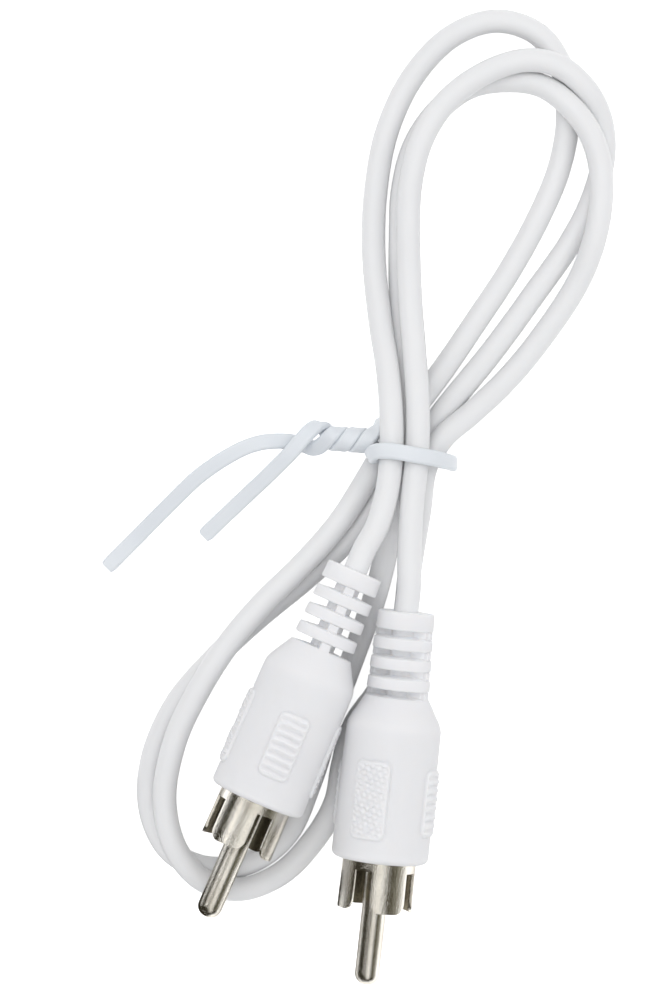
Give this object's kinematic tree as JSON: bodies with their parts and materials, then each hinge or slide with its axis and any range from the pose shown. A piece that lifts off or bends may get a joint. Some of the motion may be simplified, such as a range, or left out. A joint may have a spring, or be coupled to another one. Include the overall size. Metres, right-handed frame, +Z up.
{
  "type": "phono audio cable",
  "caption": "Short white audio lead with a moulded phono plug on each end, wound into a flat hank and held by a twisted wire tie.",
  "frame": {"origin": "on the floor, under the middle of the box around the two plugs and the tie", "axes": "+Z up from the floor the hank lies on, +Y along the hank from the plugs towards the far loop"},
  "size_m": [0.0663, 0.1257, 0.0161],
  "materials": {
    "moulding": "matt white soft moulding",
    "jacket": "satin white soft jacket",
    "nickel": "bright nickel plate",
    "insulator": "satin off-white",
    "inner_plastic": "satin natural",
    "copper": "bright copper strand",
    "solder": "dull solder",
    "tie_plastic": "satin bluish white",
    "steel": "plain drawn wire"
  },
  "bodies": {
    "root": {"plug_body_a": "moulding", "inner_mould_a": "inner_plastic", "ground_shell_a": "nickel", "insulator_a": "insulator", "center_pin_a": "nickel", "core_insulation_a": "inner_plastic", "center_wire_a": "copper", "shield_pigtail_a": "copper", "pin_solder_a": "solder", "shield_solder_a": "solder", "plug_body_b": "moulding", "inner_mould_b": "inner_plastic", "ground_shell_b": "nickel", "insulator_b": "insulator", "center_pin_b": "nickel", "core_insulation_b": "inner_plastic", "center_wire_b": "copper", "shield_pigtail_b": "copper", "pin_solder_b": "solder", "shield_solder_b": "solder", "tie_coating": "tie_plastic", "tie_wire": "steel", "cable": "jacket"}
  },
  "joints": []
}
